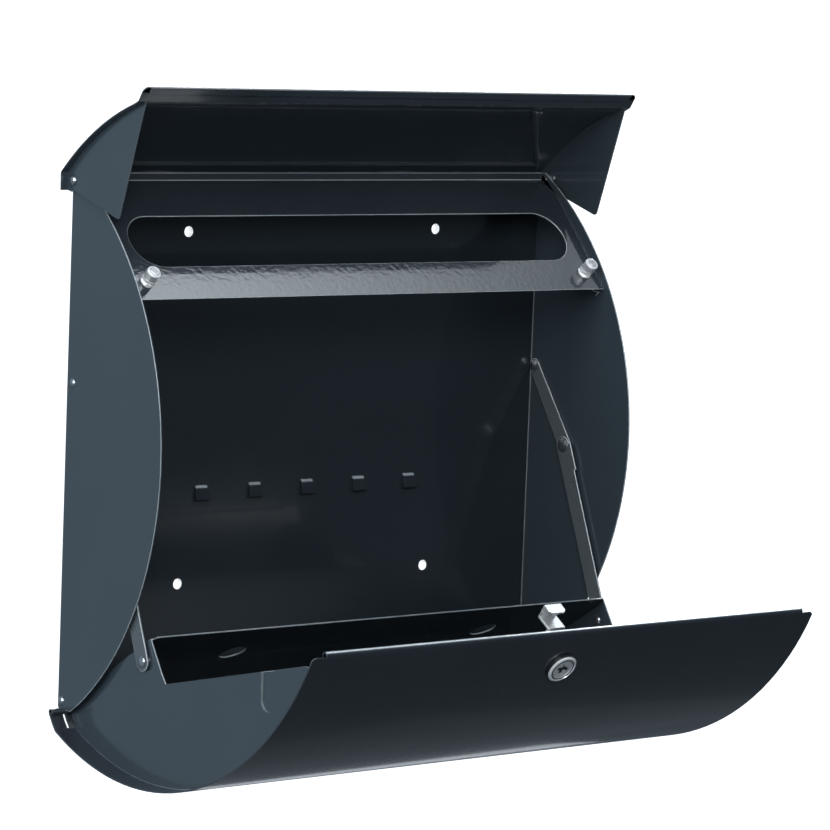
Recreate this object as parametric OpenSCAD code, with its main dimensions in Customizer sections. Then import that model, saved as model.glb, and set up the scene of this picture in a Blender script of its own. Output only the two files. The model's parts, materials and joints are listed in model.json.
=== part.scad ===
// Wall mounted mailbox: folded sheet body, lifting flap, drop-down door with stays and lock.
// Units are millimetres. X is to the viewer's right, -Y towards the viewer, Z up.
// The wall is the plane y = 0 and z = 0 is midway between the two rows of wall holes.

/* [Body] */
// Width over the two side panels
body_w = 360; // [340:1:380]
// Thickness of all the folded sheet
sheet_t = 0.8; // [0.6:0.1:1.0]
// Gap that the spacers keep between the wall and the back panel
wall_gap = 4; // [4:0.5:6]
// Sideways distance between the wall holes
hole_dx = 191.06; // [180:0.01:200]
// Vertical distance between the wall holes
hole_dz = 213.74; // [200:0.01:225]
// Diameter of a wall hole
hole_d = 6.5; // [5:0.1:7]
// Radius of the curved front edge of a side panel
side_r = 189.34; // [189:0.01:190]
// Overall length of the letter slot
slot_len = 334; // [320:1:336]
// Height of the letter slot along the sloping panel
slot_h = 36.7; // [30:0.1:38]
// Distance from the panel's bottom fold to the middle of the slot
slot_s = 41.7; // [38:0.1:44]

/* [Flap] */
// Outside radius of the flap
flap_r = 190; // [189.5:0.1:190.5]
// Width of the flap
flap_w = 376; // [374:0.5:377]
// Angle between the raised and the closed flap
flap_swing = 72.9; // [72:0.1:73]

/* [Door] */
// Outside radius of the door
door_r = 184; // [183.8:0.1:184.2]
// Width of the door
door_w = 378.8; // [377:0.1:379]
// Angle between the open and the fully closed door
door_swing = 61.3; // [61:0.1:62]
// Distance between the outer faces of the door's cheeks
cheek_w = 349.8; // [349:0.1:350]
// Diameter of the rolled beads
bead_d = 4; // [3.5:0.1:4]

/* [Fittings] */
// Radius of the hinge and stay rivets
pin_r = 2.5; // [2:0.1:2.5]
// Radial clearance where a sheet turns on a rivet
run_fit = 0.06; // [0.04:0.01:0.1]
// Width of a stay link
link_w = 11.5; // [10:0.1:12]
// Diameter of the lock's chrome ring
ring_d = 18.5; // [17:0.1:19]

/* [Hidden] */
t = sheet_t;
hw = body_w / 2;
hwi = hw - t;
fl = [-5.5, 138.0];
hi = [-3.5, -171.2];
pa = [-5.6, 18.8];
pe = [-38.3, -29.5];
pb = [-80.8, -135.9];
side_c = [92, -19.04];
flap_c = [-129.9, 5.4];
door_c = [83.15, -20.7];
fold = [-68.9, 73.1];
slope = 48.83;
lock_a = 153;
cheek_o = cheek_w / 2;
cheek_i = cheek_o - t;
flap_cheek_i = hw + 2.7;
flap_cheek_o = flap_cheek_i + t;
stay_up_o = hwi - 0.6;
stay_up_i = stay_up_o - 1.0;
stay_lo_o = stay_up_i - 0.4;
stay_lo_i = stay_lo_o - 1.0;
e = 0.01;
$fn = 64;

function seg(p, i) = (p[i + 1] - p[i]) / norm(p[i + 1] - p[i]);
function lft(p, i) = [-seg(p, i)[1], seg(p, i)[0]];
function mit(p, i) = (lft(p, i - 1) + lft(p, i)) / (1 + lft(p, i - 1) * lft(p, i));
function side_pt(p, i, d) =
    i == 0 ? p[0] + d * lft(p, 0)
    : i == len(p) - 1 ? p[i] + d * lft(p, i - 1)
    : p[i] + d * mit(p, i);
function turn(p, c, a) = [
    c[0] + (p[0] - c[0]) * cos(a) - (p[1] - c[1]) * sin(a),
    c[1] + (p[0] - c[0]) * sin(a) + (p[1] - c[1]) * cos(a)
];

// A folded strip of sheet seen from its edge, thickness to the left of the path
module strip(p, d) {
    polygon(concat(p, [for (i = [len(p) - 1 : -1 : 0]) side_pt(p, i, d)]));
}

// Sweeps a side-view outline across the width
module across(x0, x1) {
    translate([x0, 0, 0])
        rotate([90, 0, 90])
            linear_extrude(x1 - x0)
                children();
}

module both() {
    children();
    mirror([1, 0, 0])
        children();
}

// A disc or pin along X through a side-view point
module pin(p, r, x0, x1) {
    translate([x0, p[0], p[1]])
        rotate([0, 90, 0])
            cylinder(h = x1 - x0, r = r);
}

// A domed rivet head with its flat side at x0, rising towards x0 + h
module dome(p, r, x0, h) {
    s = h > 0 ? 1 : -1;
    translate([x0, p[0], p[1]])
        rotate([0, 90 * s, 0])
            rotate_extrude()
                intersection() {
                    translate([0, abs(h) - (r * r + h * h) / (2 * abs(h))])
                        circle(r = (r * r + h * h) / (2 * abs(h)), $fn = 96);
                    square([r, abs(h)]);
                }
}

module sector(c, r, d, a0, a1) {
    am = (a0 + a1) / 2;
    translate(c)
        intersection() {
            difference() {
                circle(r = r, $fn = 180);
                circle(r = r - d, $fn = 180);
            }
            polygon([
                [0, 0],
                2 * r * [cos(a0), sin(a0)],
                2 * r * [cos(am), sin(am)],
                2 * r * [cos(a1), sin(a1)]
            ]);
        }
}

module tube2d(c, r) {
    translate(c)
        difference() {
            circle(r = r);
            circle(r = r - t);
        }
}

// Puts a body part, drawn with its back panel on y = 0, off the wall
module off_wall() {
    translate([0, -wall_gap, 0])
        children();
}

// Turns flap parts from the closed to the raised position
module raised() {
    off_wall()
        translate([0, fl[0], fl[1]])
            rotate([-flap_swing, 0, 0])
                translate([0, -fl[0], -fl[1]])
                    children();
}

// Turns door parts from the closed to the open position
module opened() {
    off_wall()
        translate([0, hi[0], hi[1]])
            rotate([door_swing, 0, 0])
                translate([0, -hi[0], -hi[1]])
                    children();
}

// Local frame on the slot panel: x across, y up the slope, z out of the panel
module on_slope() {
    translate([0, fold[0], fold[1]])
        rotate([slope, 0, 0])
            children();
}

// Local frame on the lock: x across, y up the door, z outwards, origin on the door's face
module on_lock() {
    translate([0, door_c[0] + door_r * cos(lock_a), door_c[1] + door_r * sin(lock_a)])
        rotate([lock_a - 90, 0, 0])
            children();
}

module back_panel() {
    color([0.07, 0.08, 0.09])
        off_wall()
            difference() {
                union() {
                    across(-hwi, hwi)
                        union() {
                            translate([-t, -175])
                                square([t, 314.4]);
                            translate([-3.4, 138.6])
                                square([3.4 - e, t]);
                        }
                    for (i = [-2 : 2])
                        translate([0.5 + 40.28 * i, 0, -52.47])
                            across(-5.2, 5.2)
                                polygon([
                                    [-t + e, 4.7],
                                    [-2.5, 3.4],
                                    [-3.2, -3.3],
                                    [-2.7, -4.3],
                                    [-t + e, -4.3]
                                ]);
                }
                for (sx = [-1, 1], sz = [-1, 1])
                    translate([sx * hole_dx / 2, 1, sz * hole_dz / 2])
                        rotate([90, 0, 0])
                            cylinder(h = 4, d = hole_d);
                for (i = [-2 : 2])
                    translate([0.5 + 40.28 * i - 4.4, -2.1, -52.47 - 3.6])
                        cube([8.8, 3, 6.1]);
                for (sx = [-1, 1])
                    translate([sx * 176 - 5, -4, -180])
                        cube([10, 6, 18]);
            }
}

module side_outline() {
    intersection() {
        translate(side_c)
            circle(r = side_r, $fn = 180);
        polygon([
            [0, 139.7],
            [-3.4, 142.3],
            [-120, 142.3],
            [-120, -120],
            [-68.4, -139.8],
            [-12.6, -176.4],
            [-1.6, -176.5],
            [0, -175]
        ]);
    }
}

module side_panel() {
    difference() {
        across(hwi, hw)
            side_outline();
        pin(fl, pin_r, hwi - 1, hw + 1);
        pin(pa, pin_r, hwi - 1, hw + 1);
        pin(hi, pin_r, hwi - 1, hw + 1);
    }
}

module side_panel_right() {
    color([0.16, 0.18, 0.2])
        off_wall()
            side_panel();
}

module side_panel_left() {
    color([0.16, 0.18, 0.2])
        off_wall()
            mirror([1, 0, 0])
                side_panel();
}

module slot_panel() {
    color([0.42, 0.46, 0.5])
        off_wall()
            difference() {
                union() {
                    across(-hwi + t, hwi - t)
                        strip([
                            [-4.2, 142.4],
                            [-4.2, 137.9],
                            [-19.4, 129.7],
                            fold,
                            [-63.2, 73.1]
                        ], t);
                    both()
                        on_slope()
                            translate([hwi - t - 0.4, 1, -9])
                                cube([t + 0.4, 73, 8.5]);
                }
                on_slope()
                    union() {
                        for (sx = [-1, 1])
                            translate([sx * (slot_len - slot_h) / 2, slot_s, -6])
                                cylinder(h = 12, d = slot_h, $fn = 96);
                        translate([-(slot_len - slot_h) / 2, slot_s - slot_h / 2, -6])
                            cube([slot_len - slot_h, slot_h, 12]);
                    }
                translate([-16, fold[0] + 1.9, 71])
                    cube([32, 8, 2.95]);
                for (sx = [-1, 1])
                    translate([sx * 177.5 - 2.5, fold[0] + 1.9, 71])
                        cube([5, 8, 2.95]);
            }
}

module wall_spacers() {
    color([0.25, 0.26, 0.27])
        for (sx = [-1, 1], sz = [-1, 1])
            translate([sx * hole_dx / 2, 0, sz * hole_dz / 2])
                rotate([90, 0, 0])
                    difference() {
                        cylinder(h = wall_gap, d = 16);
                        translate([0, 0, -1])
                            cylinder(h = wall_gap + 2, d = hole_d);
                    }
}

module bumper() {
    on_slope()
        translate([168, 12.5, 0])
            rotate_extrude()
                polygon([
                    [0, 0],
                    [4.25, 0],
                    [4.25, 9.6],
                    [3.9, 10.6],
                    [3.1, 11.1],
                    [0, 11.1]
                ]);
}

module bumper_right() {
    color([0.85, 0.88, 0.9, 0.4])
        off_wall()
            bumper();
}

module bumper_left() {
    color([0.85, 0.88, 0.9, 0.4])
        off_wall()
            mirror([1, 0, 0])
                bumper();
}

module flap_hinge_rivets() {
    color([0.6, 0.62, 0.64])
        off_wall()
            both() {
                pin(fl, pin_r, hwi, flap_cheek_o + 0.3);
                dome(fl, 3.2, flap_cheek_o + 0.25, 1.5);
            }
}

module flap_washers() {
    color([0.5, 0.52, 0.54])
        off_wall()
            both()
                difference() {
                    pin(fl, 5, hw, flap_cheek_i - 0.3);
                    pin(fl, pin_r, hw - 1, flap_cheek_i);
                }
}

module door_hinge_rivets() {
    color([0.6, 0.62, 0.64])
        off_wall()
            both() {
                pin(hi, pin_r, cheek_i - 1, hw + 0.2);
                dome(hi, 3.0, hw, 1.4);
                pin(hi, 3.5, cheek_i - 1.2, cheek_i - 0.3);
                pin(hi, 3.2, cheek_o + 0.3, hwi);
            }
}

module stay_top_rivets() {
    color([0.6, 0.62, 0.64])
        off_wall()
            both() {
                pin(pa, pin_r, stay_up_i - 0.5, hw + 0.2);
                pin(pa, 4.2, stay_up_o + 0.3, hwi);
                dome(pa, 2.9, hw, 1.3);
                dome(pa, 3.8, stay_up_i - 0.3, -1.1);
            }
}

module flap_shell() {
    color([0.12, 0.13, 0.15])
        off_wall()
            difference() {
                union() {
                    across(-flap_w / 2, flap_w / 2)
                        union() {
                            sector(flap_c, flap_r, t, 46.35, 72.03);
                            translate([0.6, 132])
                                square([t, 10.7]);
                            strip([
                                [-80.8, 196.2],
                                [-78.1, 192.3],
                                [-75.2, 187.9],
                                [-71.3, 186.1],
                                [-69.93, 185.68]
                            ], -t);
                        }
                    across(-flap_w / 2 + 5, flap_w / 2 - 5)
                        strip([
                            [-81.42, 195.77],
                            [-78.72, 191.87]
                        ], -t);
                }
                for (s = [-1, 1])
                    translate([s * (flap_w / 2 - 3.5), -80.8, 196.2])
                        rotate([124.7, 0, 0])
                            translate([0, -3.5, -2])
                                difference() {
                                    translate([s > 0 ? 0 : -5, 0, 0])
                                        cube([5, 5, 6]);
                                    translate([0, 0, -1])
                                        cylinder(h = 8, r = 3.54);
                                }
            }
}

module flap_cheek() {
    difference() {
        across(flap_cheek_i, flap_cheek_o)
            intersection() {
                translate(turn(flap_c, fl, flap_swing))
                    circle(r = flap_r - t + 0.05, $fn = 180);
                polygon([
                    [-0.4, 88.7],
                    [-0.4, 134],
                    [1.6, 138],
                    [1.9, 142.05],
                    [-8.0, 145.2],
                    [-8.0, 152],
                    [-120, 152],
                    [-120, 84.6],
                    [-70.6, 84.6],
                    [-2.6, 86.4],
                    [-1.2, 87.0]
                ]);
            }
        pin(fl, pin_r + run_fit, hw, hw + 6);
    }
}

module flap_cheek_right() {
    color([0.12, 0.13, 0.15])
        raised()
            flap_cheek();
}

module flap_cheek_left() {
    color([0.12, 0.13, 0.15])
        raised()
            mirror([1, 0, 0])
                flap_cheek();
}

module door_shell() {
    color([0.12, 0.14, 0.16])
        opened()
            difference() {
                union() {
                    across(-door_w / 2, door_w / 2)
                        union() {
                            sector(door_c, door_r, t, 145.5, 235.4);
                            strip([
                                [-22.35, -171.47],
                                [-21.6, -171.97],
                                [-16.0, -172.95],
                                [-9.9, -173.35]
                            ], t);
                            tube2d([-9.9, -171.37], bead_d / 2);
                        }
                    across(-hw - 0.1, hw + 0.1)
                        tube2d(door_c + (door_r - bead_d / 2 + 0.03) * [cos(145.5), sin(145.5)], bead_d / 2);
                }
                for (sx = [-1, 1])
                    translate([sx * (hw - 0.4) - 0.75, -20.5, -182])
                        cube([1.5, 20.5, 22]);
                on_lock()
                    translate([0, 0, -4])
                        cylinder(h = 8, d = 16);
                for (s = [-1, 1])
                    translate([
                        s * (door_w / 2 - 3),
                        door_c[0] + door_r * cos(145.5),
                        door_c[1] + door_r * sin(145.5)
                    ])
                        rotate([55.5, 0, 0])
                            translate([0, -3, -3])
                                difference() {
                                    translate([s > 0 ? 0.3 : -6.3, 0.3, 0])
                                        cube([6, 6, 5]);
                                    translate([0, 0, -1])
                                        cylinder(h = 7, r = 3.04);
                                }
            }
}

module door_cheek() {
    difference() {
        union() {
            across(cheek_i, cheek_o)
                difference() {
                    union() {
                        intersection() {
                            translate(door_c)
                                circle(r = door_r - t + 0.05, $fn = 180);
                            polygon([
                                [0.3, -75.5],
                                [-3.9, -150],
                                [-4.0, -166],
                                [-3.5, -171.2],
                                [-9, -171.6],
                                [-60, -171.6],
                                [-140, -100],
                                [-140, 70],
                                [-71.5, 70],
                                [-64.1, 56.3],
                                [-28.5, -72.9],
                                [-22.2, -73.9]
                            ]);
                        }
                        translate(hi)
                            circle(r = 5.5);
                    }
                    groove(6.2);
                }
            across(cheek_i - 1.2, cheek_i - 0.4)
                intersection() {
                    translate(door_c)
                        circle(r = door_r - t - 0.4, $fn = 180);
                    groove(7.0);
                    polygon([
                        [-140, -60],
                        [-45.8, -10],
                        [-62.4, 50],
                        [-140, 60]
                    ]);
                }
            across(cheek_i - 0.5, cheek_i + e)
                intersection() {
                    translate(door_c)
                        circle(r = door_r - t - 0.4, $fn = 180);
                    difference() {
                        groove(7.0);
                        groove(6.2);
                    }
                    polygon([
                        [-140, -60],
                        [-45.8, -10],
                        [-62.4, 50],
                        [-140, 60]
                    ]);
                }
        }
        pin(hi, pin_r + run_fit, cheek_i - 3, cheek_o + 1);
        pin(turn(pb, hi, -door_swing), pin_r, cheek_i - 3, cheek_o + 1);
    }
}

// The pressed groove that makes room for the elbow of the stay
module groove(r) {
    hull() {
        translate([-70.3, 15.9])
            circle(r = r, $fn = 40);
        translate([-46.9, 27.2])
            circle(r = r, $fn = 40);
    }
}

module door_cheek_right() {
    color([0.1, 0.11, 0.12])
        opened()
            door_cheek();
}

module door_cheek_left() {
    color([0.1, 0.11, 0.12])
        opened()
            mirror([1, 0, 0])
                door_cheek();
}

module tray_plate() {
    color([0.09, 0.1, 0.11])
        opened()
            difference() {
                across(-cheek_i, cheek_i)
                    strip([
                        [0.4, -72.6],
                        [-1.2, -84.3],
                        [-2.4, -106],
                        [-3.9, -150],
                        [-9.5, -165.5],
                        [-25.3, -168.4]
                    ], -t);
                for (sx = [-1, 1])
                    translate([sx * 97, 2, -105.9])
                        rotate([90, 0, 0])
                            cylinder(h = 8, d = 16);
                for (s = [-1, 1])
                    translate([s * cheek_i, -3, -72.6])
                        rotate([0, 45, 0])
                            cube([3.4, 12, 3.4], center = true);
            }
}

module stay_bottom_rivets() {
    b = turn(pb, hi, -door_swing);
    color([0.6, 0.62, 0.64])
        opened()
            both() {
                pin(b, pin_r, cheek_i - 0.5, stay_lo_o + 0.4);
                dome(b, 3.6, stay_lo_o + 0.3, 1.1);
                dome(b, 3.2, cheek_i, -1.2);
                pin(b, 4.6, cheek_o, stay_lo_i - 0.3);
            }
}

module lock_housing() {
    color([0.78, 0.79, 0.8])
        opened()
            on_lock()
                difference() {
                    union() {
                        translate([0, 0, -15])
                            cylinder(h = 15, d = 15.98);
                        rotate_extrude()
                            polygon([
                                [0, -0.1],
                                [ring_d / 2, -0.1],
                                [ring_d / 2, 1.2],
                                [ring_d / 2 - 1.2, 2.4],
                                [7.4, 2.6],
                                [0, 2.6]
                            ]);
                    }
                    translate([0, 0, -16])
                        cylinder(h = 20, r = 6.06);
                }
}

module lock_nut() {
    color([0.62, 0.63, 0.64])
        opened()
            on_lock()
                translate([0, 0, -4.4])
                    difference() {
                        cylinder(h = 3.2, d = 22, $fn = 6);
                        translate([0, 0, -1])
                            cylinder(h = 6, d = 15.98);
                    }
}

module lock_plug() {
    color([0.72, 0.73, 0.74])
        opened()
            on_lock()
                difference() {
                    union() {
                        translate([0, 0, -15.8])
                            cylinder(h = 18.1, r = 6);
                        translate([-3.2, -3.2, -17.6])
                            cube([6.4, 6.4, 2]);
                    }
                    translate([-0.7, -3.6, -8])
                        cube([1.4, 7.2, 12]);
                    translate([-1.4, -1.4, 0.5])
                        cube([2.8, 2.8, 4]);
                }
}

module lock_cam() {
    color([0.66, 0.67, 0.66])
        opened()
            on_lock()
                difference() {
                    union() {
                        across(-6.3, 6.3)
                            union() {
                                strip([
                                    [-6, -17.5],
                                    [14.2, -17.5],
                                    [14.2, -27.5],
                                    [23.8, -27.5],
                                    [23.8, -20.0]
                                ], 1.5);
                            }
                        translate([0, 0, -17.5])
                            cylinder(h = 1.5, d = 15);
                    }
                    translate([-3.2, -3.2, -19])
                        cube([6.4, 6.4, 4]);
                    for (s = [-1, 1])
                        translate([s * 6.3, 20, -20])
                            rotate([90, 0, 0])
                                translate([0, 0, -6])
                                    rotate([0, 0, 45])
                                        cube([3, 3, 12], center = true);
                }
}

module cam_screw() {
    color([0.6, 0.62, 0.64])
        opened()
            on_lock()
                difference() {
                    translate([0, 0, -20.2])
                        cylinder(h = 2.6, d = 8.4);
                    for (a = [0, 90])
                        rotate([0, 0, a])
                            translate([-2.2, -0.5, -21])
                                cube([4.4, 1, 1.8]);
                }
}

// A flat link with round ends from p to q
module link2d(p, q, wp, wq) {
    hull() {
        translate(p)
            circle(d = wp, $fn = 40);
        translate(q)
            circle(d = wq, $fn = 40);
    }
}

module stay_upper() {
    difference() {
        across(stay_up_i, stay_up_o)
            link2d(pa, pe, 8.8, link_w);
        pin(pa, pin_r + run_fit, stay_up_i - 1, stay_up_o + 1);
    }
}

module stay_lower() {
    a = atan2(pe[1] - pb[1], pe[0] - pb[0]);
    difference() {
        across(stay_lo_i, stay_lo_o)
            union() {
                link2d(pb, pe, link_w, link_w);
                translate(pe)
                    rotate(a)
                        translate([-18, 0])
                            square([18, link_w / 2 + 1.6]);
            }
        pin(pb, pin_r + run_fit, stay_lo_i - 1, stay_lo_o + 1);
        pin(pe, pin_r, stay_lo_i - 1, stay_lo_o + 1);
    }
}

module elbow_rivet() {
    pin(pe, pin_r, stay_lo_i - 0.1, stay_lo_o);
    dome(pe, 4.6, stay_lo_i, -0.9);
}

module stay_upper_right() {
    color([0.1, 0.11, 0.12])
        off_wall()
            stay_upper();
}

module stay_upper_left() {
    color([0.1, 0.11, 0.12])
        off_wall()
            mirror([1, 0, 0])
                stay_upper();
}

module stay_lower_right() {
    color([0.1, 0.11, 0.12])
        off_wall()
            stay_lower();
}

module stay_lower_left() {
    color([0.1, 0.11, 0.12])
        off_wall()
            mirror([1, 0, 0])
                stay_lower();
}

module elbow_rivet_right() {
    color([0.6, 0.62, 0.64])
        off_wall()
            elbow_rivet();
}

module elbow_rivet_left() {
    color([0.6, 0.62, 0.64])
        off_wall()
            mirror([1, 0, 0])
                elbow_rivet();
}

back_panel();
side_panel_left();
side_panel_right();
slot_panel();
wall_spacers();
bumper_left();
bumper_right();
flap_hinge_rivets();
flap_washers();
door_hinge_rivets();
stay_top_rivets();
flap_shell();
flap_cheek_left();
flap_cheek_right();
door_shell();
door_cheek_left();
door_cheek_right();
tray_plate();
stay_bottom_rivets();
lock_housing();
lock_nut();
lock_plug();
lock_cam();
cam_screw();
stay_upper_left();
stay_upper_right();
stay_lower_left();
stay_lower_right();
elbow_rivet_left();
elbow_rivet_right();
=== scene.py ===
"""Wall mounted mailbox: materials, fine detail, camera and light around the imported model."""
import json
import math
import bmesh
import bpy
from mathutils import Matrix, Vector


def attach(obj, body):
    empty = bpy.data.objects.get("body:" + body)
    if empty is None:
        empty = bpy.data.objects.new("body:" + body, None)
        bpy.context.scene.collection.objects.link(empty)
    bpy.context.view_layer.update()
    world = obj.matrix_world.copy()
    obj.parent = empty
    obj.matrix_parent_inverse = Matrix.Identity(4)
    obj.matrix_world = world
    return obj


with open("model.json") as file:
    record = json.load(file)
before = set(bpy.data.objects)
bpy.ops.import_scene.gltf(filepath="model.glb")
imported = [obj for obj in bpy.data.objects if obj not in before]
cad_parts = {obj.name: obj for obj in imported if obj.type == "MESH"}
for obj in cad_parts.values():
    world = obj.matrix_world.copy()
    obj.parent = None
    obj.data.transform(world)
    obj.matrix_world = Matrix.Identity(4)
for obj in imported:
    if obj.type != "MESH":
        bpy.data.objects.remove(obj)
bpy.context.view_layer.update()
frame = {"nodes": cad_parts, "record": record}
nodes = frame["nodes"]
MM = 0.001


def node_tree(name):
    """A new node material, its tree and its main shader."""
    mat = bpy.data.materials.new(name)
    mat.use_nodes = True
    nt = mat.node_tree
    bsdf = nt.nodes["Principled BSDF"]
    return mat, nt, bsdf


def add(nt, kind, **values):
    """A new node; each value goes to the socket of that name, or to the node's own setting."""
    node = nt.nodes.new(kind)
    for key, value in values.items():
        if key in node.inputs:
            node.inputs[key].default_value = value
        else:
            setattr(node, key, value)
    return node


def ramp(nt, source, stops):
    """A colour ramp on a source socket, from stops of (place, colour)."""
    node = nt.nodes.new("ShaderNodeValToRGB")
    while len(node.color_ramp.elements) > len(stops):
        node.color_ramp.elements.remove(node.color_ramp.elements[-1])
    while len(node.color_ramp.elements) < len(stops):
        node.color_ramp.elements.new(0.5)
    for element, (place, colour) in zip(node.color_ramp.elements, stops):
        element.position = place
        element.color = (*colour, 1)
    nt.links.new(source, node.inputs["Fac"])
    return node.outputs["Color"]


def grey(value):
    return (value, value, value)


def powder_coat(name, dark, light, rough=(0.16, 0.24), peel_depth=0.3, sway_depth=0.3, coat=0.6,
                coat_rough=0.04, peel_height=0.00008):
    """Gloss powder coat: a dark grey-blue skin with fine orange peel and a slow sway in the sheet."""
    mat, nt, bsdf = node_tree(name)
    place = add(nt, "ShaderNodeTexCoord").outputs["Object"]
    broad = add(nt, "ShaderNodeTexNoise", Scale=9.0, Detail=3.0, Roughness=0.55)
    nt.links.new(place, broad.inputs["Vector"])
    colour = ramp(nt, broad.outputs["Fac"], [(0.3, dark), (0.72, light)])
    nt.links.new(colour, bsdf.inputs["Base Color"])
    smudge = add(nt, "ShaderNodeTexNoise", Scale=38.0, Detail=4.0, Roughness=0.6)
    nt.links.new(place, smudge.inputs["Vector"])
    rr = ramp(nt, smudge.outputs["Fac"], [(0.3, grey(rough[0])), (0.75, grey(rough[1]))])
    nt.links.new(rr, bsdf.inputs["Roughness"])
    peel = add(nt, "ShaderNodeTexNoise", Scale=330.0, Detail=1.0, Roughness=0.4)
    nt.links.new(place, peel.inputs["Vector"])
    sway = add(nt, "ShaderNodeTexNoise", Scale=22.0, Detail=0.0)
    nt.links.new(place, sway.inputs["Vector"])
    b1 = add(nt, "ShaderNodeBump", Strength=peel_depth, Distance=peel_height)
    nt.links.new(peel.outputs["Fac"], b1.inputs["Height"])
    b2 = add(nt, "ShaderNodeBump", Strength=sway_depth, Distance=0.0004)
    nt.links.new(sway.outputs["Fac"], b2.inputs["Height"])
    nt.links.new(b1.outputs["Normal"], b2.inputs["Normal"])
    nt.links.new(b2.outputs["Normal"], bsdf.inputs["Normal"])
    bsdf.inputs["IOR"].default_value = 1.5
    bsdf.inputs["Coat Weight"].default_value = coat
    bsdf.inputs["Coat Roughness"].default_value = coat_rough
    return mat


def metal(name, dark, light, rough, scale=60.0, wear=0.12, shine=1.0):
    """Bare or plated metal with faint drawing marks and dull patches."""
    mat, nt, bsdf = node_tree(name)
    place = add(nt, "ShaderNodeTexCoord").outputs["Object"]
    noise = add(nt, "ShaderNodeTexNoise", Scale=scale, Detail=4.0, Roughness=0.6)
    nt.links.new(place, noise.inputs["Vector"])
    colour = ramp(nt, noise.outputs["Fac"], [(0.3, dark), (0.7, light)])
    nt.links.new(colour, bsdf.inputs["Base Color"])
    rr = ramp(nt, noise.outputs["Fac"], [(0.3, grey(rough + wear)), (0.7, grey(rough))])
    nt.links.new(rr, bsdf.inputs["Roughness"])
    bump = add(nt, "ShaderNodeBump", Strength=0.08, Distance=0.0003)
    nt.links.new(noise.outputs["Fac"], bump.inputs["Height"])
    nt.links.new(bump.outputs["Normal"], bsdf.inputs["Normal"])
    bsdf.inputs["Metallic"].default_value = shine
    return mat


def clear_plastic(name, through=0.85):
    """Clear moulded plastic with a slightly uneven polish."""
    mat, nt, bsdf = node_tree(name)
    noise = add(nt, "ShaderNodeTexNoise", Scale=90.0, Detail=2.0)
    polish = ramp(nt, noise.outputs["Fac"], [(0.2, grey(0.05)), (0.8, grey(0.16))])
    nt.links.new(polish, bsdf.inputs["Roughness"])
    bsdf.inputs["Base Color"].default_value = (0.93, 0.95, 0.96, 1)
    bsdf.inputs["IOR"].default_value = 1.45
    bsdf.inputs["Transmission Weight"].default_value = through
    return mat


def nylon(name):
    """White nylon, with a little light of its own in place of the light that scatters inside it."""
    mat, nt, bsdf = node_tree(name)
    noise = add(nt, "ShaderNodeTexNoise", Scale=140.0, Detail=3.0)
    colour = ramp(nt, noise.outputs["Fac"], [(0.3, (0.80, 0.81, 0.81)), (0.7, (0.88, 0.89, 0.89))])
    nt.links.new(colour, bsdf.inputs["Base Color"])
    haze = ramp(nt, noise.outputs["Fac"], [(0.3, grey(0.45)), (0.7, grey(0.6))])
    nt.links.new(haze, bsdf.inputs["Roughness"])
    bsdf.inputs["Emission Color"].default_value = (1.0, 1.0, 1.0, 1)
    bsdf.inputs["Emission Strength"].default_value = 0.35
    return mat


# Paint and metal colours; the edge coats are paler paint along each sheet's rounded edge, a painted
# highlight
EDGE_ROUGH = (0.2, 0.35)
outer = powder_coat("powder_coat_outer", (0.026, 0.036, 0.044), (0.030, 0.041, 0.050))
inner = powder_coat("powder_coat_inner", (0.0115, 0.0160, 0.0200), (0.0140, 0.0190, 0.0235), coat=0.25)
# Painted shade: the door front takes a darker copy of the outer coat
front = powder_coat(
    "powder_coat_front", (0.0150, 0.0190, 0.0245), (0.0185, 0.0235, 0.0300),
    rough=(0.22, 0.30), coat_rough=0.1,
)
stay_coat = powder_coat(
    "powder_coat_stay", (0.055, 0.066, 0.072), (0.075, 0.086, 0.092), rough=(0.24, 0.34),
)
# Painted highlight: the palest edge coat, for the slot panel and the stays
edge_highlight_strong = powder_coat(
    "powder_coat_bright_edge", (0.36, 0.39, 0.41), (0.48, 0.51, 0.53), rough=EDGE_ROUGH,
)
slot_coat = powder_coat(
    "powder_coat_slot", (0.020, 0.026, 0.032), (0.024, 0.031, 0.038), rough=(0.10, 0.14),
    peel_depth=1.0, sway_depth=0.12, coat_rough=0.02, peel_height=0.0001,
)
# Painted highlight: the paler coat of the side panels', door cheeks' and tray's edges
edge_highlight = powder_coat(
    "powder_coat_edge", (0.22, 0.25, 0.27), (0.32, 0.35, 0.37), rough=EDGE_ROUGH,
)
# Painted highlight: the paler coat of the fold fillets
fold_highlight = powder_coat(
    "powder_coat_fold", (0.09, 0.105, 0.115), (0.14, 0.155, 0.165), rough=EDGE_ROUGH,
)
# Painted highlight, faint: the edge coat of the flap and the door front, still paler than their faces
edge_highlight_faint = powder_coat(
    "powder_coat_dark_edge", (0.05, 0.058, 0.066), (0.07, 0.08, 0.09), rough=EDGE_ROUGH,
)
zinc = metal("zinc_plate", (0.84, 0.85, 0.84), (0.94, 0.95, 0.94), 0.22, shine=0.85)
rivet = metal(
    "rivet_steel", (0.28, 0.30, 0.32), (0.42, 0.44, 0.46), 0.13, scale=200.0, wear=0.08, shine=0.92,
)
chrome = metal(
    "lock_chrome", (0.62, 0.64, 0.65), (0.78, 0.80, 0.81), 0.2, scale=120.0, wear=0.06, shine=0.45,
)
clear = clear_plastic("bumper_clear")
spacer = nylon("spacer_nylon")
finish = {
    "powder_coat_outer": outer, "powder_coat_inner": inner, "powder_coat_slot": slot_coat,
    "zinc_plate": zinc, "rivet_steel": rivet, "lock_chrome": chrome,
    "bumper_clear": clear, "spacer_nylon": spacer,
}
slots = {s["node"]: s["material_slot"] for s in frame["record"]["subparts"]}

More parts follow.
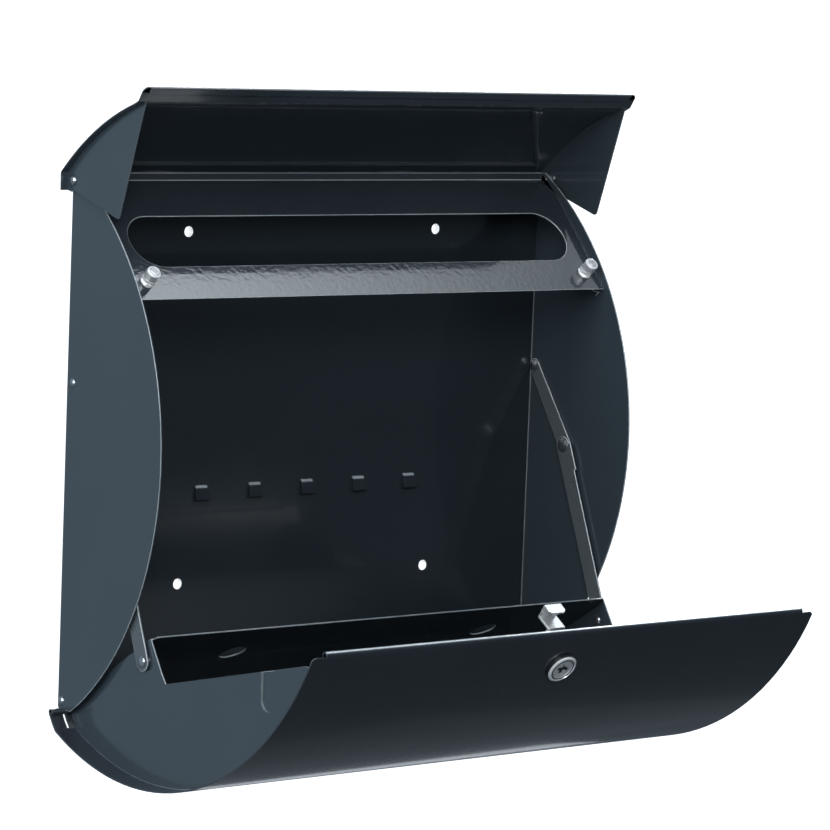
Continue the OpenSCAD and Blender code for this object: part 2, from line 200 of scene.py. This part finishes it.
# Edges: angles that count as an edge, and the rounding of each edge in mm
SHARP = math.radians(28)
SOFT_PRESSING = math.radians(14)
FLAT = math.radians(0.4)
FINE_EDGE = 0.16
SHEET_EDGE = 0.3
EDGE = {
    "lock_housing": 0.3, "lock_plug": 0.25, "lock_cam": 0.35, "cam_screw": 0.2, "lock_nut": 0.25,
    "bumper_left": 0.6, "bumper_right": 0.6,
}
EDGE_STEPS = 2
EDGE_PULL = 60

# Points closer than this, in mm, become one; the tray's folded corners need a wider gap
POINT_GAP = 0.002
WIDE_POINT_GAP = {"tray_plate": 0.2}

# Pressed sheets, whose many shallow facets need their edge width kept absolute
PRESSED = {"door_shell", "door_cheek_left", "door_cheek_right"}

# The paint on a node's faces and on its rounded edges, where it differs from its material slot; the
# paler edge coats in RIM are painted highlights
# The door front's darker coat is painted shade
FACE = {
    "door_shell": front, "door_cheek_left": outer, "door_cheek_right": outer,
    "stay_upper_left": stay_coat, "stay_upper_right": stay_coat,
    "stay_lower_left": stay_coat, "stay_lower_right": stay_coat,
}
RIM = {
    "back_panel": inner, "side_panel_left": edge_highlight, "side_panel_right": edge_highlight,
    "slot_panel": edge_highlight_strong, "flap_shell": edge_highlight_faint, "flap_cheek_left": edge_highlight_faint,
    "flap_cheek_right": edge_highlight_faint, "door_shell": edge_highlight_faint, "door_cheek_left": edge_highlight,
    "door_cheek_right": edge_highlight, "tray_plate": edge_highlight, "stay_upper_left": edge_highlight_strong,
    "stay_upper_right": edge_highlight_strong, "stay_lower_left": edge_highlight_strong, "stay_lower_right": edge_highlight_strong,
}


def dress(obj, mat, edge, rim):
    """Paint or metal with rounded edges; a sheet's rounded edge takes its own paler coat, a painted
    highlight.
    """
    obj.data.materials.clear()
    obj.data.materials.append(mat)
    weld = obj.modifiers.new("weld", "WELD")
    weld.merge_threshold = WIDE_POINT_GAP.get(obj.name, POINT_GAP) * MM
    flat = obj.modifiers.new("flat", "DECIMATE")
    flat.decimate_type = "DISSOLVE"
    flat.angle_limit = FLAT
    bevel = obj.modifiers.new("bevel", "BEVEL")
    bevel.width = edge * MM
    bevel.segments = EDGE_STEPS
    bevel.limit_method = "ANGLE"
    bevel.angle_limit = SOFT_PRESSING if obj.name.startswith("door_cheek") else SHARP
    bevel.use_clamp_overlap = rim is None
    bevel.offset_type = "ABSOLUTE" if obj.name in PRESSED else "OFFSET"
    bevel.harden_normals = True
    if rim:
        obj.data.materials.append(rim)
        bevel.material = 1
    obj.data.shade_smooth()
    smooth = obj.modifiers.new("normals", "WEIGHTED_NORMAL")
    smooth.keep_sharp = True
    smooth.weight = EDGE_PULL


for name, obj in nodes.items():
    face_mat = FACE.get(name, finish[slots[name]])
    dress(obj, face_mat, EDGE.get(name, SHEET_EDGE if name in RIM else FINE_EDGE), RIM.get(name))

# The crest of the door's rolled front bead takes the paler coat of the sheet edges, a painted highlight
# along the bead's top
BEAD_AT, BEAD_R, BEAD_GAP, CREST = Vector((0, -260.4, -105.0)), 2.0, 0.12, 0.72
shell = nodes["door_shell"]
shell.data.materials.append(edge_highlight_strong)
for face in shell.data.polygons:
    arm = shell.matrix_world @ face.center / MM - BEAD_AT
    normal = shell.matrix_world.to_3x3() @ face.normal
    if abs(math.hypot(arm.y, arm.z) - BEAD_R) < BEAD_GAP and normal.z > CREST:
        face.material_index = len(shell.data.materials) - 1


# Fine detail that the CAD leaves plain
def mesh_object(name, verts, faces, mat):
    """A mesh with its faces turned outwards."""
    mesh = bpy.data.meshes.new(name)
    mesh.from_pydata([tuple(v) for v in verts], [], faces)
    bm = bmesh.new()
    bm.from_mesh(mesh)
    bmesh.ops.recalc_face_normals(bm, faces=bm.faces)
    bm.to_mesh(mesh)
    bm.free()
    mesh.materials.append(mat)
    obj = bpy.data.objects.new(name, mesh)
    bpy.context.scene.collection.objects.link(obj)
    return obj


def prism(name, outline, low, high, place, mat):
    """A flat outline drawn out between two heights, set down by place(u, v, w)."""
    n = len(outline)
    verts = [place(u, v, low) for u, v in outline] + [place(u, v, high) for u, v in outline]
    faces = [tuple(range(n)), tuple(range(n, 2 * n))]
    faces += [(i, (i + 1) % n, n + (i + 1) % n, n + i) for i in range(n)]
    return mesh_object(name, verts, faces, mat)


def lathe(name, profile, place, mat, steps=72):
    """A closed profile of (radius, height) turned round the axis of place(u, v, w)."""
    verts, faces, n = [], [], len(profile)
    for k in range(steps):
        turn = 2 * math.pi * k / steps
        verts += [place(r * math.cos(turn), r * math.sin(turn), h) for r, h in profile]
    for k in range(steps):
        for i in range(n):
            j = (i + 1) % n
            faces.append((k * n + i, k * n + j, (k + 1) % steps * n + j, (k + 1) % steps * n + i))
    obj = mesh_object(name, verts, faces, mat)
    obj.data.shade_smooth()
    obj.data.set_sharp_from_angle(angle=SHARP)
    return obj


# The lock's face: u runs to the right, v up the door and w out of the door, in mm
LOCK_AT = Vector((0, -249.901, -126.610))
LOCK_OUT = Vector((0, -0.8261, -0.56353))
LOCK_UP = Vector((0, -0.56353, 0.8261))
LOCK_SIDE = Vector((1, 0, 0))


def on_lock(u, v, w):
    return (LOCK_AT + LOCK_SIDE * u + LOCK_UP * v + LOCK_OUT * w) * MM


# Key slot and groove filled with near-black painted shade, the collar a dark ring of painted shade and
# the lip a near-white painted highlight: outlines in mm, as (u, v) or (radius, w)
recess_shade = metal("lock_recess", (0.004, 0.004, 0.005), (0.010, 0.010, 0.012), 0.5, shine=0.0)
collar_shade = metal("lock_gasket", (0.006, 0.007, 0.008), (0.012, 0.013, 0.015), 0.35, shine=0.0)
KEYWAY = [
    (-4.1, 0.9), (-2.8, 2.1), (-1.2, 1.2), (-0.2, 2.1), (1.6, 2.1), (4.0, 0.2), (3.2, -1.2),
    (1.3, 0.1), (0.1, -0.3), (-0.8, -2.2), (-2.5, -2.5), (-2.0, -0.7), (-3.7, -0.3),
]
GROOVE = [(6.85, 1.9), (7.5, 1.9), (7.5, 2.66), (7.35, 2.7), (7.0, 2.7), (6.85, 2.66)]
COLLAR = [(8.4, -0.3), (9.75, -0.3), (9.75, 1.3), (9.55, 1.62), (8.4, 1.62)]
LIP = [(7.7, 2.3), (8.1, 2.0), (9.0, 1.7), (9.35, 1.75), (9.4, 2.05), (8.7, 2.74), (8.0, 2.84)]
KEYWAY_LOW, KEYWAY_HIGH = 1.6, 2.34
# Near-white lip, a painted highlight on the lock's chrome rim
lip_highlight = metal(
    "lock_bright", (0.90, 0.91, 0.92), (0.97, 0.97, 0.97), 0.14, scale=150.0, wear=0.05, shine=0.35,
)
details = [
    (lathe("lock_groove", GROOVE, on_lock, recess_shade), "door", "lock_chrome"),
    (lathe("lock_collar", COLLAR, on_lock, collar_shade), "door", "lock_chrome"),
    (lathe("lock_lip", LIP, on_lock, lip_highlight), "door", "lock_chrome"),
    (prism("lock_keyway", KEYWAY, KEYWAY_LOW, KEYWAY_HIGH, on_lock, recess_shade), "lock_rotor", "lock_chrome"),
]

# The narrow fillets where the folded sides meet the back panel, in a paler coat: a painted highlight
# along the folds
FOLD_X, FOLD_Y, FOLD_R, FOLD_SINK = 179.2, -4.8, 0.5, 0.1
FOLD_LOW, FOLD_HIGH, FOLD_STEPS = -160.0, 66.0, 6
bow = [math.radians(90 * k / FOLD_STEPS) for k in range(FOLD_STEPS + 1)]
fold_section = [
    (FOLD_X - FOLD_R + FOLD_R * math.sin(a), FOLD_Y - FOLD_R + FOLD_R * math.cos(a)) for a in bow
] + [
    (FOLD_X + FOLD_SINK, FOLD_Y - FOLD_R), (FOLD_X + FOLD_SINK, FOLD_Y + FOLD_SINK),
    (FOLD_X - FOLD_R, FOLD_Y + FOLD_SINK),
]
for side, name in ((-1, "fold_fillet_left"), (1, "fold_fillet_right")):
    fold = prism(
        name, fold_section, FOLD_LOW, FOLD_HIGH,
        lambda x, y, z, side=side: Vector((side * x, y, z)) * MM, fold_highlight,
    )
    details.append((fold, "body", "powder_coat_inner"))

# Paler upper faces of the five small bridges pressed out of the back panel, a painted highlight
BRIDGE_PITCH, BRIDGE_MID, BRIDGE_Z = 40.28, 0.5, -52.47
BRIDGE_LEFT, BRIDGE_RIGHT = -5.0, 3.4
BRIDGE_HIGHLIGHT = [(-4.7, 5.3), (-5.8, 4.7), (-6.1, 3.6), (-4.7, 4.3)]
for k in range(5):
    middle = BRIDGE_MID + BRIDGE_PITCH * (k - 2)
    highlight_piece = prism(
        "bridge_top_%d" % (k + 1), BRIDGE_HIGHLIGHT, BRIDGE_LEFT, BRIDGE_RIGHT,
        lambda y, z, x, middle=middle: Vector((middle + x, y, BRIDGE_Z + z)) * MM, edge_highlight,
    )
    details.append((highlight_piece, "body", "powder_coat_inner"))

# Moulded rims of the two clear bumpers
BUMPER_OUT = Vector((0, -0.7527, 0.6583))
BUMPER_UP = Vector((0, 0.6583, 0.7527))
BUMPER_HALF = 5.55
rim_clear = clear_plastic("bumper_rim", 0.25)
FOOT_RIM = [(3.9, 0.7), (4.34, 0.8), (4.4, 1.2), (4.34, 1.6), (3.9, 1.7)]
HEAD_RIM = [(3.0, 10.7), (3.95, 10.1), (4.2, 10.3), (3.95, 10.9), (3.2, 11.2)]
for name in ("bumper_left", "bumper_right"):
    corners = [nodes[name].matrix_world @ Vector(c) for c in nodes[name].bound_box]
    foot = sum(corners, Vector()) / len(corners) / MM - BUMPER_OUT * BUMPER_HALF

    def on_bumper(u, v, w, foot=foot):
        return (foot + LOCK_SIDE * u + BUMPER_UP * v + BUMPER_OUT * w) * MM

    for end, profile in (("_foot_rim", FOOT_RIM), ("_head_rim", HEAD_RIM)):
        details.append((lathe(name + end, profile, on_bumper, rim_clear), "body", "bumper_clear"))

for obj, body, slot in details:
    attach(obj, body)

# Camera: a long lens from the front left, a little above, turned slightly about its own axis
AZ, EL, ROLL = math.radians(-39.11), math.radians(6.12), math.radians(-2.21)
TARGET = Vector((36.31, -64.0, -2.42)) * MM
DISTANCE = 2493.14 * MM
SENSOR, LENS, FAR = 36.0, 176.69234, 50
back = Vector((math.sin(AZ) * math.cos(EL), -math.cos(AZ) * math.cos(EL), math.sin(EL)))
level_right = (-back).cross(Vector((0, 0, 1))).normalized()
level_down = (-back).cross(level_right)
right = level_right * math.cos(ROLL) + level_down * math.sin(ROLL)
down = -level_right * math.sin(ROLL) + level_down * math.cos(ROLL)
spot = TARGET + back * DISTANCE
cam_data = bpy.data.cameras.new("camera")
cam_data.sensor_width = SENSOR
cam_data.lens = LENS
cam_data.clip_end = FAR
cam = bpy.data.objects.new("camera", cam_data)
bpy.context.scene.collection.objects.link(cam)
cam.matrix_world = Matrix((
    (right.x, -down.x, back.x, spot.x),
    (right.y, -down.y, back.y, spot.y),
    (right.z, -down.z, back.z, spot.z),
    (0, 0, 0, 1),
))
bpy.context.scene.camera = cam


def area(name, place, aim, size, power, colour=(1, 1, 1)):
    """A rectangular lamp, in metres and watts, that the camera doesn't see."""
    data = bpy.data.lights.new(name, "AREA")
    data.shape = "RECTANGLE"
    data.size, data.size_y = size
    data.energy = power
    data.color = colour
    obj = bpy.data.objects.new(name, data)
    bpy.context.scene.collection.objects.link(obj)
    obj.location = place
    obj.visible_camera = False
    obj.rotation_euler = (Vector(aim) - Vector(place)).to_track_quat("-Z", "Y").to_euler()
    return obj


area("key_left", (-2.6, -0.5, 0.9), (0, -0.1, 0), (1.6, 2.0), 60, (0.94, 0.97, 1.0))
area("top_soft", (0.0, -0.9, 2.2), (0, -0.1, 0), (1.8, 0.9), 22, (0.86, 0.93, 1.0))
area("rim_strip", (1.69, 1.40, 1.19), (0, -0.26, -0.1), (1.2, 0.7), 50, (0.93, 0.97, 1.0))
area("low_glow", (0.85, 0.53, -1.17), (-0.1, -0.28, -0.22), (0.9, 0.7), 0.07, (0.85, 0.94, 1.0))
area("back_soft", (1.60, 1.95, 0.30), (0, -0.2, -0.12), (0.9, 0.4), 4)
area("fill_front", (-1.25, -2.2, 1.1), (0, -0.1, 0), (1.2, 1.2), 40, (0.96, 0.98, 1.0))
area("low_back", (0.62, 0.60, -0.60), (-0.17, -0.3, -0.25), (0.35, 0.12), 0.10, (0.88, 0.94, 1.0))
band = area("band_soft", (1.60, -0.72, 2.02), (0, -0.1, 0.1), (2.4, 1.0), 38, (0.86, 0.94, 1.0))

# The softbox over the letter slot fades towards the right
BAND_FADE = {"From Min": 1.30, "From Max": 1.80, "To Min": 1.0, "To Max": 0.16}
band.data.use_nodes = True
bt = band.data.node_tree
glow = next(n for n in bt.nodes if n.type == "EMISSION")
where = bt.nodes.new("ShaderNodeNewGeometry")
split = bt.nodes.new("ShaderNodeSeparateXYZ")
bt.links.new(where.outputs["Position"], split.inputs["Vector"])
fade = bt.nodes.new("ShaderNodeMapRange")
for socket, value in BAND_FADE.items():
    fade.inputs[socket].default_value = value
bt.links.new(split.outputs["X"], fade.inputs["Value"])
bt.links.new(fade.outputs["Result"], glow.inputs["Strength"])

# The room: blue grey, paler towards the upper left
BRIGHT_SIDE = (-0.80, 0.25, 0.54)
ROOM = [(0.0, (0.062, 0.078, 0.094)), (0.45, (0.092, 0.114, 0.136)), (0.9, (0.29, 0.38, 0.455))]
world = bpy.data.worlds.new("studio")
bpy.context.scene.world = world
world.use_nodes = True
wt = world.node_tree
heading = wt.nodes.new("ShaderNodeTexCoord")
facing = wt.nodes.new("ShaderNodeVectorMath")
facing.operation = "DOT_PRODUCT"
facing.inputs[1].default_value = BRIGHT_SIDE
wt.links.new(heading.outputs["Generated"], facing.inputs[0])
scaled = wt.nodes.new("ShaderNodeMapRange")
scaled.inputs["From Min"].default_value = -1.0
wt.links.new(facing.outputs["Value"], scaled.inputs["Value"])
background = wt.nodes["Background"]
wt.links.new(ramp(wt, scaled.outputs["Result"], ROOM), background.inputs["Color"])
background.inputs["Strength"].default_value = 1.0


# Pale floor and backdrop
def stage_surface(name, rings, emit, steps=96):
    """A pale surface turned round the Z axis, seen by the camera but kept off the paint."""
    verts, faces, n = [], [], len(rings)
    for k in range(steps):
        turn = 2 * math.pi * k / steps
        verts += [(r * math.cos(turn), r * math.sin(turn), h) for r, h in rings]
        after = (k + 1) % steps
        faces += [(k * n + i, k * n + i + 1, after * n + i + 1, after * n + i) for i in range(n - 1)]
    mat, nt, bsdf = node_tree(name)
    noise = add(nt, "ShaderNodeTexNoise", Scale=2.0)
    colour = ramp(nt, noise.outputs["Fac"], [(0.3, grey(0.88)), (0.7, grey(0.9))])
    nt.links.new(colour, bsdf.inputs["Base Color"])
    bsdf.inputs["Roughness"].default_value = 0.9
    bsdf.inputs["Emission Color"].default_value = (1, 1, 1, 1)
    bsdf.inputs["Emission Strength"].default_value = emit
    obj = mesh_object(name, verts, faces, mat)
    obj.visible_glossy = False
    obj.visible_diffuse = False
    obj.visible_transmission = True
    obj.visible_shadow = False


# Rings are (radius, height) in metres
FLOOR = [(0.01, -1.7), (3.0, -1.7), (6.0, -1.7)]
BACKDROP = [(6.0, -1.7), (6.6, -1.2), (7.0, 1.0), (7.0, 4.0), (5.0, 7.0), (0.01, 8.0)]
stage_surface("floor", FLOOR, 0.9)
stage_surface("backdrop", BACKDROP, 0.95)

bpy.context.scene.view_settings.view_transform = "Standard"
